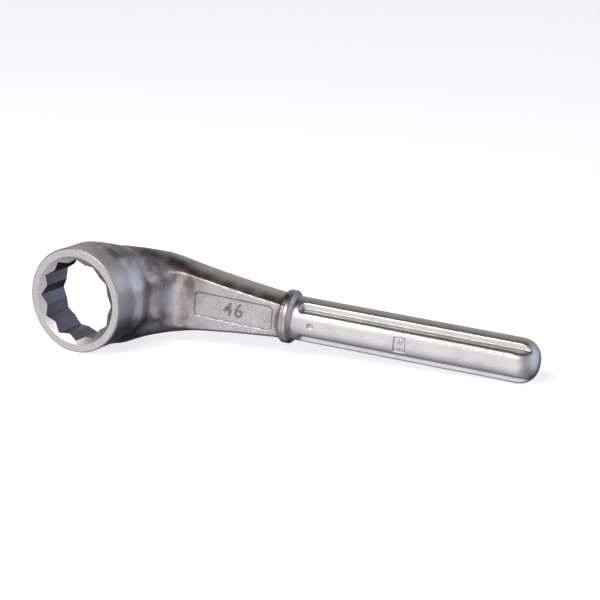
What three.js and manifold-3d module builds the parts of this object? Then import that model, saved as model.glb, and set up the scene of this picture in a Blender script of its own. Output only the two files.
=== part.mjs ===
// A single-ended ring wrench, drop forged in one piece: a twelve-point ring, a deep-offset neck,
// a tapering shank with a shallow panel, a collar and a round, fluted tang that a pull tube slides over.
//
// Wrench frame: the ring's axis is Y and its centre is the origin, the working face looks along -Y,
// X runs from the ring along the handle, and Z is across the handle. "Out" is the distance along Y.
// The finished wrench is then pitched about Y, so that it stands on its edge: on the ring and the tang's end.

import * as THREE from "three";
import { mergeVertices } from "three/addons/utils/BufferGeometryUtils.js";
import Module from "manifold-3d";

// ---- driving dimensions, mm ----

const ACROSS_FLATS = 46;
const POINTS = 12;
const BROACH_TURN = 4; // degrees that the twelve points are turned about the ring's axis

const RING_RADIUS = 33.5;
const FACE_OUT = -12; // working face
const BACK_OUT = 14.5; // back face of the ring
const FACE_EDGE = 0.6; // chamfer round the working face
const BACK_EDGE = 2.5; // rounding round the back face
const MOUTH_RADIUS = 28.4; // bore chamfer where it meets either face
const MOUTH_ANGLE = 30; // degrees between the bore chamfer and the face
const CLEARANCE_DRAFT = 14; // degrees, pocket for the stud behind the ring
const POCKET_TOP = 80; // past the back of the neck

const ELBOW_X = 54; // centre of the neck's hollow
const ELBOW_OUT = 16;
const ELBOW_RADIUS = 21; // of the bend's hollow side

const TANG_OUT = 39.5; // the tang's axis crosses X = 0 this far behind the ring's centre
const TANG_LEAN = 8.2; // degrees between the tang's axis and X
const COLLAR_AT = 118.5; // distances along the tang's axis
const TANG_END = 279;
const TANG_RADIUS = 14;
const COLLAR_RADIUS = 17;
const COLLAR_CREST = 4.4;
const COLLAR_BASE = 11;
const COLLAR_FOOT = TANG_RADIUS - 0.6; // the collar's flanks start just under the tang's surface

const FLUTE_START = 127.5;
const FLUTE_FLOOR = 0.467 * TANG_RADIUS; // floor of a flute, from the middle plane
const FLUTE_HALF_WIDTH = 0.63 * TANG_RADIUS; // foot of a flute's side wall
const FLUTE_DRAFT = 17; // degrees
const NOSE_ROUND = 12; // radius between the tang's side and its end

const SHANK_FACE_OUT = 37; // front face of the shank where the bend ends
const SHANK_FACE_SLOPE = 0.096; // its run away from the ring's plane
const SHANK_BACK = 12.6; // parting line to the back face, at the collar

const PANEL_DEPTH = 0.7;
const PANEL_FROM = 58;
const PANEL_TO = 111;
const PANEL_HALF_WIDTH = 7.6;
const PANEL_CORNER = 2.4;

const DIMPLE_AT = 136;
const DIMPLE_RADIUS = 2.2;
const DIMPLE_DEPTH = 0.9;
const PAD_AT = 194;
const PAD_ACROSS = -0.9; // the pad's middle, off the middle plane
const PAD_LENGTH = 7;
const PAD_WIDTH = 9;
const PAD_DEPTH = 0.5;

const ROUND_SIDES = 96;
const TANG_SIDES = 56;
const DIMPLE_SIDES = 16;
const OVERSHOOT = 1; // how far a cutting tool reaches past the metal

const rad = THREE.MathUtils.degToRad;

// ---- solids ----

const wasm = await Module();
wasm.setup();

function solid(geometry) {
  const bare = geometry.clone();
  bare.deleteAttribute("normal");
  bare.deleteAttribute("uv");
  const merged = mergeVertices(bare, 1e-4);
  const mesh = new wasm.Mesh({
    numProp: 3,
    vertProperties: new Float32Array(merged.attributes.position.array),
    triVerts: new Uint32Array(merged.index.array),
  });
  return new wasm.Manifold(mesh);
}

function geometryOf(manifold) {
  const mesh = manifold.getMesh();
  const geometry = new THREE.BufferGeometry();
  geometry.setAttribute("position", new THREE.BufferAttribute(mesh.vertProperties, 3));
  geometry.setIndex(new THREE.BufferAttribute(mesh.triVerts, 1));
  const flat = geometry.toNonIndexed();
  flat.computeVertexNormals();
  return flat;
}

// points of a round stretch, its end points included
function arc(x, y, radius, from, to, steps) {
  const points = [];
  for (let i = 0; i <= steps; i += 1) {
    const angle = rad(from + ((to - from) * i) / steps);
    points.push(new THREE.Vector2(x + radius * Math.cos(angle), y + radius * Math.sin(angle)));
  }
  return points;
}

const at = (x, y) => new THREE.Vector2(x, y);

// a closed body through a row of sections that all have the same number of points
function loft(sections) {
  const count = sections[0].length;
  const positions = [];
  const index = [];
  for (const section of sections) {
    for (const point of section) {
      positions.push(point.x, point.y, point.z);
    }
  }
  for (let row = 0; row + 1 < sections.length; row += 1) {
    for (let i = 0; i < count; i += 1) {
      const a = row * count + i;
      const b = row * count + ((i + 1) % count);
      index.push(a, b + count, b, a, a + count, b + count);
    }
  }
  for (const [row, last] of [[0, false], [sections.length - 1, true]]) {
    const middle = new THREE.Vector3();
    for (const point of sections[row]) {
      middle.addScaledVector(point, 1 / count);
    }
    const hub = positions.length / 3;
    positions.push(middle.x, middle.y, middle.z);
    for (let i = 0; i < count; i += 1) {
      const a = row * count + i;
      const b = row * count + ((i + 1) % count);
      index.push(...(last ? [hub, b, a] : [hub, a, b]));
    }
  }
  const geometry = new THREE.BufferGeometry();
  geometry.setAttribute("position", new THREE.Float32BufferAttribute(positions, 3));
  geometry.setIndex(index);
  return geometry;
}

// ---- ring ----

// lathes are turned about Y, which is the ring's own axis
function ringBarrel() {
  const profile = [
    at(0, FACE_OUT),
    at(RING_RADIUS - FACE_EDGE, FACE_OUT),
    at(RING_RADIUS, FACE_OUT + FACE_EDGE),
    ...arc(RING_RADIUS - BACK_EDGE, BACK_OUT - BACK_EDGE, BACK_EDGE, 0, 90, 5),
    at(0, BACK_OUT),
  ];
  return new THREE.LatheGeometry(profile, ROUND_SIDES);
}

function bore() {
  const shape = new THREE.Shape();
  const outer = ACROSS_FLATS / 2 / Math.cos(rad(30));
  const inner = ACROSS_FLATS / 2 / Math.cos(rad(15));
  for (let i = 0; i < 2 * POINTS; i += 1) {
    const radius = i % 2 === 0 ? outer : inner;
    const angle = rad((180 / POINTS) * i - BROACH_TURN);
    const x = radius * Math.cos(angle);
    const y = radius * Math.sin(angle);
    if (i === 0) {
      shape.moveTo(x, y);
    } else {
      shape.lineTo(x, y);
    }
  }
  shape.closePath();
  const depth = BACK_OUT - FACE_OUT + 2 * OVERSHOOT;
  const geometry = new THREE.ExtrudeGeometry(shape, { depth, bevelEnabled: false });
  geometry.translate(0, 0, FACE_OUT - OVERSHOOT);
  geometry.rotateX(-Math.PI / 2);
  return geometry;
}

// the countersink in the working face, and the one in the back with the stud's pocket above it
function boreMouths() {
  const slope = Math.tan(rad(MOUTH_ANGLE));
  const depth = MOUTH_RADIUS * slope;
  const front = [
    at(0, FACE_OUT + depth),
    at(MOUTH_RADIUS, FACE_OUT),
    at(MOUTH_RADIUS, FACE_OUT - OVERSHOOT),
    at(0, FACE_OUT - OVERSHOOT),
  ];
  const pocket = MOUTH_RADIUS + (POCKET_TOP - BACK_OUT) * Math.tan(rad(CLEARANCE_DRAFT));
  const back = [
    at(0, POCKET_TOP),
    at(pocket, POCKET_TOP),
    at(MOUTH_RADIUS, BACK_OUT),
    at(0, BACK_OUT - depth),
  ];
  return [front, back].map((profile) => new THREE.LatheGeometry(profile.reverse(), ROUND_SIDES));
}

// ---- neck and shank ----

const tangSlope = Math.tan(rad(TANG_LEAN));
const shankEnd = COLLAR_AT * Math.cos(rad(TANG_LEAN));
const shankFaceOut = (x) => SHANK_FACE_OUT + (x - ELBOW_X) * SHANK_FACE_SLOPE;

// a place on the hollow of the bend: 90 degrees is on the ring's wall, 0 is where the shank's face begins
function hollow(degrees, halfWidth) {
  const x = ELBOW_X - ELBOW_RADIUS * Math.sin(rad(degrees));
  const out = ELBOW_OUT + ELBOW_RADIUS * Math.cos(rad(degrees));
  return [x, out, halfWidth];
}

const face = (x, halfWidth) => [x, shankFaceOut(x), halfWidth];

// Three rails from inside the ring's wall, round the bend, to the collar: the edge of the front face,
// the parting line at the widest part, and the edge of the back face. Each place is [x, out, half-width].
const FRONT_RAIL = [
  [26, -6, 8],
  [31, 5, 8],
  hollow(90, 10),
  hollow(67.5, 13),
  hollow(45, 16),
  hollow(22.5, 17.6),
  face(57, 17.3),
  face(76, 14.9),
  face(97, 12.4),
  face(shankEnd, 10),
];
const PARTING_RAIL = [
  [6, 2, 28],
  [9, 11, 31],
  [13.4, 19.5, 32.2],
  [18.5, 29.5, 30.6],
  [24.5, 39, 28.6],
  [36, 47.6, 25.8],
  [55, 51.5, 21.5],
  [76, 53.2, 18.3],
  [97, 54.8, 15.7],
  [shankEnd, TANG_OUT + shankEnd * tangSlope, 13.5],
];
const BACK_RAIL = [
  [-3, 8, 25],
  [-2, 17, 25],
  [2, 26, 26],
  [7.5, 36, 25],
  [15, 46.5, 23.5],
  [29, 57.5, 21],
  [52, 63, 16.5],
  [76, 65.2, 13.8],
  [97, 67.2, 11.6],
  [shankEnd, TANG_OUT + shankEnd * tangSlope + SHANK_BACK, 9.5],
];

const NECK_SECTIONS = 42;
const BULGE_STEPS = 5;
const FLAT_STEPS = [0.25, 0.5, 0.75]; // points across a flat face

// one section: flat front and back faces, and sides that bulge to the parting line
function neckSection(front, parting, back) {
  const upper = [];
  for (let i = -BULGE_STEPS; i <= BULGE_STEPS; i += 1) {
    const t = Math.abs(i) / BULGE_STEPS;
    const point = parting.clone().lerp(i < 0 ? front : back, t);
    const end = i < 0 ? front.z : back.z;
    point.z = parting.z - (parting.z - end) * t * t;
    upper.push(point);
  }
  const lower = upper.map((p) => new THREE.Vector3(p.x, p.y, -p.z)).reverse();
  const flat = (from, to) => FLAT_STEPS.map((t) => from.clone().lerp(to, t));
  return [...upper, ...flat(upper.at(-1), lower[0]), ...lower, ...flat(lower.at(-1), upper[0])];
}

function neckAndShank() {
  const rails = [FRONT_RAIL, PARTING_RAIL, BACK_RAIL].map(
    (rail) => new THREE.CatmullRomCurve3(rail.map((place) => new THREE.Vector3(...place))),
  );
  const sections = [];
  for (let i = 0; i <= NECK_SECTIONS; i += 1) {
    sections.push(neckSection(...rails.map((rail) => rail.getPoint(i / NECK_SECTIONS))));
  }
  return loft(sections);
}

// a shallow recess with round corners in the shank's front face
function panel() {
  const length = PANEL_TO - PANEL_FROM;
  const shape = new THREE.Shape();
  const r = PANEL_CORNER;
  const h = PANEL_HALF_WIDTH;
  shape.moveTo(r, -h);
  shape.absarc(length - r, r - h, r, -Math.PI / 2, 0);
  shape.absarc(length - r, h - r, r, 0, Math.PI / 2);
  shape.absarc(r, h - r, r, Math.PI / 2, Math.PI);
  shape.absarc(r, r - h, r, Math.PI, 1.5 * Math.PI);
  const depth = PANEL_DEPTH + OVERSHOOT;
  const geometry = new THREE.ExtrudeGeometry(shape, { depth, bevelEnabled: false, curveSegments: 6 });
  geometry.translate(0, 0, -PANEL_DEPTH);
  const run = new THREE.Vector3(1, SHANK_FACE_SLOPE, 0).normalize();
  const front = new THREE.Vector3(run.y, -run.x, 0);
  const frame = new THREE.Matrix4().makeBasis(run, new THREE.Vector3(0, 0, 1), front);
  return geometry.applyMatrix4(frame.setPosition(PANEL_FROM, shankFaceOut(PANEL_FROM), 0));
}

// ---- collar and tang ----

const axis = new THREE.Vector3(Math.cos(rad(TANG_LEAN)), Math.sin(rad(TANG_LEAN)), 0);
const front = new THREE.Vector3(axis.y, -axis.x, 0);
const across = new THREE.Vector3(0, 0, 1);
const behind = front.clone().negate();

// a lathe's Y, and an extrusion's Z, laid along the tang's axis; an extrusion's Y is towards the front
const lathed = new THREE.Matrix4().makeBasis(across, axis, behind).setPosition(0, TANG_OUT, 0);
const extruded = new THREE.Matrix4().makeBasis(across, front, axis).setPosition(0, TANG_OUT, 0);

function collar() {
  const crest = COLLAR_CREST / 2;
  const base = COLLAR_BASE / 2;
  const profile = [
    at(0, COLLAR_AT - base),
    at(COLLAR_FOOT, COLLAR_AT - base),
    at(COLLAR_RADIUS, COLLAR_AT - crest),
    at(COLLAR_RADIUS, COLLAR_AT + crest),
    at(COLLAR_FOOT, COLLAR_AT + base),
    at(0, COLLAR_AT + base),
  ];
  return new THREE.LatheGeometry(profile, TANG_SIDES).applyMatrix4(lathed);
}

function tang() {
  const profile = [
    at(0, COLLAR_AT),
    at(TANG_RADIUS, COLLAR_AT),
    ...arc(TANG_RADIUS - NOSE_ROUND, TANG_END - NOSE_ROUND, NOSE_ROUND, 0, 90, 10),
    at(0, TANG_END),
  ];
  return new THREE.LatheGeometry(profile, TANG_SIDES).applyMatrix4(lathed);
}

// the cutter of one flute: a flat floor and a drafted side wall
function flute(toFront, toTop) {
  const past = TANG_RADIUS + OVERSHOOT;
  const lean = (past - FLUTE_FLOOR) * Math.tan(rad(FLUTE_DRAFT));
  const shape = new THREE.Shape([
    at(toTop * FLUTE_HALF_WIDTH, toFront * FLUTE_FLOOR),
    at(toTop * past, toFront * FLUTE_FLOOR),
    at(toTop * past, toFront * past),
    at(toTop * (FLUTE_HALF_WIDTH - lean), toFront * past),
  ]);
  const depth = TANG_END + OVERSHOOT - FLUTE_START;
  const geometry = new THREE.ExtrudeGeometry(shape, { depth, bevelEnabled: false });
  return geometry.translate(0, 0, FLUTE_START).applyMatrix4(extruded);
}

// the small square recess on the tang's front, for a mark
function markPad() {
  const depth = PAD_DEPTH + OVERSHOOT;
  const geometry = new THREE.BoxGeometry(PAD_WIDTH, depth, PAD_LENGTH);
  geometry.translate(PAD_ACROSS, TANG_RADIUS - PAD_DEPTH + depth / 2, PAD_AT);
  return geometry.applyMatrix4(extruded);
}

// the dent that a hardness test leaves
function dimple() {
  const flat = TANG_RADIUS + OVERSHOOT;
  const profile = [
    at(0, TANG_RADIUS - DIMPLE_DEPTH),
    at(DIMPLE_RADIUS, TANG_RADIUS),
    at(DIMPLE_RADIUS, flat),
    at(0, flat),
  ];
  const geometry = new THREE.LatheGeometry(profile, DIMPLE_SIDES);
  return geometry.translate(0, 0, DIMPLE_AT).applyMatrix4(extruded);
}

// ---- the forging ----

function forging() {
  let metal = solid(ringBarrel());
  for (const piece of [neckAndShank(), collar(), tang()]) {
    metal = metal.add(solid(piece));
  }
  const cutters = [bore(), ...boreMouths(), panel(), markPad(), dimple()];
  for (const toFront of [1, -1]) {
    for (const toTop of [1, -1]) {
      cutters.push(flute(toFront, toTop));
    }
  }
  for (const cutter of cutters) {
    metal = metal.subtract(solid(cutter));
  }
  return geometryOf(metal);
}

const satinChrome = new THREE.MeshStandardMaterial({ color: 0xb9b7b8, roughness: 0.38, metalness: 1 });

const wrench = new THREE.Mesh(forging(), satinChrome);
wrench.name = "wrench_forging";

// pitched so that the ring and the rounding at the tang's end touch the same surface
const nose = (TANG_END - NOSE_ROUND) * Math.cos(rad(TANG_LEAN));
const pitch = Math.asin((RING_RADIUS - TANG_RADIUS) / nose);
wrench.rotation.y = pitch;
wrench.updateMatrix();

// the origin is under the middle of the wrench's box
const box = new THREE.Box3().setFromObject(wrench, true);
const middle = box.getCenter(new THREE.Vector3());

const part = new THREE.Group();
part.add(wrench);
part.position.set(-middle.x, -middle.y, -box.min.z);

export default part;
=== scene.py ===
"""Looks of a deep-offset ring wrench: one drop forging, broached in the ring and plated in satin chrome.

Lengths in the making of the forging are millimetres in the wrench's own frame: the ring's centre is the
origin, its axis is Y with the working face towards -Y, X runs along the handle and Z is across it.
"""

import math

import bmesh
import bpy
import numpy as np
from mathutils import Matrix, Vector
from mathutils.bvhtree import BVHTree


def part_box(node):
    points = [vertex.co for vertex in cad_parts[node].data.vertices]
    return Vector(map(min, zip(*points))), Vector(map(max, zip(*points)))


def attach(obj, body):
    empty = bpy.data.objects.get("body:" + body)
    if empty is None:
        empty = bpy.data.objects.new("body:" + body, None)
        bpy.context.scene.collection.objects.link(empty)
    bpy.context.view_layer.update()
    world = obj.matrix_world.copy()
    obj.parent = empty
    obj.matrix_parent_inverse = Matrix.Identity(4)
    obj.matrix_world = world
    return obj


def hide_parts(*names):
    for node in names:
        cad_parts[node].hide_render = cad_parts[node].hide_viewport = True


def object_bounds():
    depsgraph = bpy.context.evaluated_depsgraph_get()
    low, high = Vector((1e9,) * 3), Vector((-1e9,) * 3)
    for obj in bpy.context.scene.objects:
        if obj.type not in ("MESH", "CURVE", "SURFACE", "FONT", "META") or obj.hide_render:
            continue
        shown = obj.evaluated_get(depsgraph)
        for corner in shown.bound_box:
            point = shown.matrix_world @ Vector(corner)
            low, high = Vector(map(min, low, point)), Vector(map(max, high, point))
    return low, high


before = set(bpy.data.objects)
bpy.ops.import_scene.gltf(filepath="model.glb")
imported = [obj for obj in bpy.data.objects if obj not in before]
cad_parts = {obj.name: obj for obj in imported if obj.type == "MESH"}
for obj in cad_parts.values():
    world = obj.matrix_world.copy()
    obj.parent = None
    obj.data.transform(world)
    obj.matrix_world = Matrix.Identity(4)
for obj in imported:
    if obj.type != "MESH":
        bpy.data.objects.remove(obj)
CAD_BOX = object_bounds()

bl_info = {
    "name": "Ring wrench looks",
    "version": (1, 0, 0),
    "blender": (4, 5, 0),
    "location": "View3D > Sidebar > Wrench",
    "description": "Forges, broaches, marks and plates a deep-offset ring wrench, and sets its studio",
    "category": "Object",
}

MM = 0.001
NODE = "wrench_forging"
BODY = "root"
FORGING = "forged_wrench"
LOW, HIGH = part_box(NODE)

# ---- shape of the forging, mm in the wrench's frame ----

ELBOW = (54.0, 16.0, 21.0)  # centre and radius of the bend's hollow side
FACE_SLOPE = 0.096  # run of the shank's front face away from the ring
FACE_AT_ELBOW = 37.0
TANG_OUT = 39.5
TANG_LEAN = math.radians(8.2)
SHANK_REACH = 120.0  # along the tang's axis
SHANK_END = SHANK_REACH * math.cos(TANG_LEAN)
SHANK_BACK = 12.6  # behind the tang's axis, at the collar
AXIS_AT_SHANK_END = TANG_OUT + SHANK_END * math.tan(TANG_LEAN)

FACING_STOCK = 1.2  # left on the ring's face for the facing cut
FACING_OVER = 1.0  # how far the facing cut reaches past the ring
FACE_EDGE = 0.7  # chamfer of the face's outer edge, at 45 degrees
RING_BACK_ROUND = 3.4
NECK_EDGE = 1.1  # rounding between the neck's front or back and its sides
CLEARANCE_DRAFT = math.radians(14)
CLEARANCE_ROUND = 1.5
RING_BLEND = 0.8  # where the neck leaves the ring's side, near the face
ROOT_BLEND = 7.0  # added at the neck's root and on its shoulders
RESTING_SIDE_LESS = 0.8  # share of it that is left out on the side that the wrench stands on

NOSE_RADIUS = 12.0
RELIEF = 0.955  # of the tang's radius, front and back
RELIEF_HALF_WIDTH = 9.4
RELIEF_FROM, RELIEF_TO, RELIEF_FADE = 131.0, 262.0, 6.0
FLUTE_FLOOR = 0.467  # of the tang's radius, before and behind its axis
FLUTE_WALL = 0.63  # of the tang's radius, to either side of its axis
FLUTE_DRAFT = math.radians(17)
FLUTE_START = 127.5
COLLAR_RADIUS = 17.0
COLLAR_HALF_WIDTH = 6.5
COLLAR_LAND = 2.2  # half the width of its cylindrical part
COLLAR_BEVEL = (3.6, 3.3)  # fall of the bevel, and its run along the axis

WAVE_LENGTH = 11.0  # of the forged skin's unevenness
WAVE_HEIGHT = 0.08
WAVE_SEED = 7
WAVE_CELLS = 64  # before the unevenness repeats


def hollow(degrees, half_width):
    """A place on the bend's hollow: 90 is on the ring's wall and 0 where the shank's face begins."""
    x, out, radius = ELBOW
    turn = math.radians(degrees)
    return (x - radius * math.sin(turn), out + radius * math.cos(turn), half_width)


def face_place(x, half_width):
    return (x, FACE_AT_ELBOW + (x - ELBOW[0]) * FACE_SLOPE, half_width)


# rails from inside the ring round the bend to the collar; each place is x, out, half width
FRONT_RAIL = [
    (26, -6, 8), (31, 5, 8), hollow(90, 10), hollow(67.5, 13), hollow(45, 16), hollow(22.5, 17.6),
    face_place(57, 17.3), face_place(76, 14.9), face_place(97, 12.4), face_place(SHANK_END, 10),
]
PARTING_RAIL = [
    (6, 2, 28), (9, 11, 31), (13.4, 19.5, 32.2), (18.5, 29.5, 30.6), (24.5, 39, 28.6),
    (36, 47.6, 25.8), (55, 51.5, 21.5), (76, 53.2, 18.3), (97, 54.8, 15.7),
    (SHANK_END, AXIS_AT_SHANK_END, 13.5),
]
BACK_RAIL = [
    (-3, 8, 25), (-2, 17, 25), (2, 26, 26), (7.5, 36, 25), (15, 46.5, 23.5),
    (29, 57.5, 21), (52, 63, 16.5), (76, 65.2, 13.8), (97, 67.2, 11.6),
    (SHANK_END, AXIS_AT_SHANK_END + SHANK_BACK, 9.5),
]

PANEL_FROM = 58.0
PANEL_LENGTH = 53.2
PANEL_HALF_WIDTH = 7.6
PANEL_CORNER = 2.4
PANEL_DEPTH = 0.7
PANEL_FLARE = 0.8
CUT_HEADROOM = 3.0  # how far a recess reaches in front of its face

CAPITAL_SHARE = 0.7  # of a figure's height in its font's size
MARK_WEIGHT = 0.16  # how much the size mark's strokes are thickened
MARK_SPACING = 1.15
MARK_SINK = 0.02  # of the figures' middle below the panel's floor

PAD_AT = 194.0  # along the tang's axis
PAD_ACROSS = -0.9
PAD_LENGTH = 7.0
PAD_WIDTH = 9.0
PAD_FLOOR = 12.75  # from the tang's axis
PAD_FLARE = 0.6
PAD_MARKS = ((-0.9, 1.9, 1.5), (1.1, 1.9, 1.5), (0.1, -2.2, 0.9))  # two bars and a dot: place and half height
PAD_MARK_HALF_WIDTH = 0.55
PAD_MARK_HEIGHT = 0.4


def on_tang(along, to_front, across):
    """A place given along the tang's axis, in front of it and across it."""
    c, s = math.cos(TANG_LEAN), math.sin(TANG_LEAN)
    return (along * c + to_front * s, TANG_OUT + along * s - to_front * c, across)


# centre and radius of the balls that leave the dimple and a few knocks
DENTS = (
    (on_tang(136, 15.6, 0), 3.2),
    (on_tang(266, 10.6, 9.6), 1.5),
    (on_tang(240, 13.9, -4.0), 1.0),
    ((39.0, 30.2, 11.0), 0.7),
    ((39.4, 30.7, 8.6), 0.8),
)

GRID_STEP = 0.5  # of the side-view fields
GRID_LOW = np.array([-46.0, -22.0])
GRID_HIGH = np.array([128.0, 88.0])
RAYS_FROM = -60  # across the wrench, clear of it
BLANK_LOW = (-36, -16, -36)  # box that the forging is meshed in
BLANK_HIGH = (283, 98, 36)


def smooth_max(a, b, k):
    blend = np.maximum(k - np.abs(a - b), 0) / k
    return np.maximum(a, b) + blend * blend * k * 0.25


def smooth_min(a, b, k):
    return -smooth_max(-a, -b, k)


def ramp(value, start, end):
    """0 at the start and 1 from the end on; the end may be the lower one."""
    return np.clip((value - start) / (end - start), 0, 1)


def spot(value, middle, reach):
    """1 at the middle, fading out over the reach to either side."""
    return np.exp(-(((value - middle) / reach) ** 2))


def rail_points(rail, count):
    """Points on a centripetal Catmull-Rom curve through the rail, evenly spread over its spans."""
    places = np.array(rail, float)
    places = np.vstack([2 * places[0] - places[1], places, 2 * places[-1] - places[-2]])
    spans = len(places) - 3
    at = np.linspace(0, spans, count)
    span = np.minimum(at.astype(int), spans - 1)
    t = (at - span)[:, None]
    p0, p1, p2, p3 = (places[span + i] for i in range(4))
    d0, d1, d2 = (np.linalg.norm(b - a, axis=1)[:, None] ** 0.5 for a, b in ((p0, p1), (p1, p2), (p2, p3)))
    t1 = ((p1 - p0) / d0 - (p2 - p0) / (d0 + d1) + (p2 - p1) / d1) * d1
    t2 = ((p2 - p1) / d1 - (p3 - p1) / (d1 + d2) + (p3 - p2) / d2) * d1
    c2 = -3 * p1 + 3 * p2 - 2 * t1 - t2
    c3 = 2 * p1 - 2 * p2 + t1 + t2
    return p1 + t1 * t + c2 * t**2 + c3 * t**3


def rounded_box(a, b, radius):
    """Distance to a corner of that radius, from the distances past its two sides."""
    a, b = a + radius, b + radius
    return np.hypot(np.maximum(a, 0), np.maximum(b, 0)) + np.minimum(np.maximum(a, b), 0) - radius


def polygon_distance(points, corners):
    """Signed distance of each point to a closed polygon, negative inside."""
    best = np.full(len(points), 1e9)
    inside = np.zeros(len(points), bool)
    for a, b in zip(corners, np.roll(corners, -1, axis=0)):
        along = b - a
        length = along @ along
        if length < 1e-12:
            continue
        rel = points - a
        t = np.clip(rel @ along / length, 0, 1)
        off = rel - t[:, None] * along
        best = np.minimum(best, (off * off).sum(1))
        crosses = (a[1] > points[:, 1]) != (b[1] > points[:, 1])
        if crosses.any() and a[1] != b[1]:
            x = a[0] + (points[:, 1] - a[1]) * along[0] / along[1]
            inside ^= crosses & (points[:, 0] < x)
    return np.sqrt(best) * np.where(inside, -1, 1)


class SideField:
    """A value over the side view, read between its grid points."""

    def __init__(self, values):
        self.values = values

    def __call__(self, x, y):
        u = np.clip((x - GRID_LOW[0]) / GRID_STEP, 0, self.values.shape[0] - 1.001)
        v = np.clip((y - GRID_LOW[1]) / GRID_STEP, 0, self.values.shape[1] - 1.001)
        i, j = u.astype(int), v.astype(int)
        a, b = u - i, v - j
        g = self.values
        near = g[i, j] * (1 - a) + g[i + 1, j] * a
        far = g[i, j + 1] * (1 - a) + g[i + 1, j + 1] * a
        return near * (1 - b) + far * b


def side_fields():
    """Distance to the neck's side profile, its half width, and how steeply that width changes."""
    front, parting, back = (rail_points(rail, 240) for rail in (FRONT_RAIL, PARTING_RAIL, BACK_RAIL))
    xs = np.arange(GRID_LOW[0], GRID_HIGH[0] + GRID_STEP, GRID_STEP)
    ys = np.arange(GRID_LOW[1], GRID_HIGH[1] + GRID_STEP, GRID_STEP)
    grid = np.stack(np.meshgrid(xs, ys, indexing="ij"), -1).reshape(-1, 2)
    profile = polygon_distance(grid, np.vstack([front[:, :2], back[::-1, :2]]))

    steps = np.linspace(-1.6, 1.6, 49)
    rows = []
    for step in steps:
        end = front if step < 0 else back
        row = parting + (end - parting) * abs(step)
        row[:, 2] = parting[:, 2] - (parting[:, 2] - end[:, 2]) * step**2
        rows.append(row)
    sheet = np.array(rows)
    across, along = sheet.shape[:2]
    quads = [
        (i * along + j, i * along + j + 1, (i + 1) * along + j + 1, (i + 1) * along + j)
        for i in range(across - 1)
        for j in range(along - 1)
    ]
    tree = BVHTree.FromPolygons([tuple(p) for p in sheet.reshape(-1, 3)], quads)
    up = Vector((0, 0, 1))
    width = np.full(len(grid), np.nan)
    for k, (x, y) in enumerate(grid):
        hit = tree.ray_cast(Vector((x, y, RAYS_FROM)), up)[0]
        if hit is not None:
            width[k] = hit.z
    width = width.reshape(len(xs), len(ys))
    while np.isnan(width).any():
        total = np.zeros_like(width)
        count = np.zeros_like(width)
        for shift, axis in ((1, 0), (-1, 0), (1, 1), (-1, 1)):
            moved = np.roll(width, shift, axis)
            known = ~np.isnan(moved)
            total[known] += moved[known]
            count[known] += 1
        fill = np.isnan(width) & (count > 0)
        width[fill] = total[fill] / count[fill]
    slope = np.hypot(*np.gradient(width, GRID_STEP))
    return SideField(profile.reshape(width.shape)), SideField(width), SideField(np.sqrt(1 + slope**2))


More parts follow.
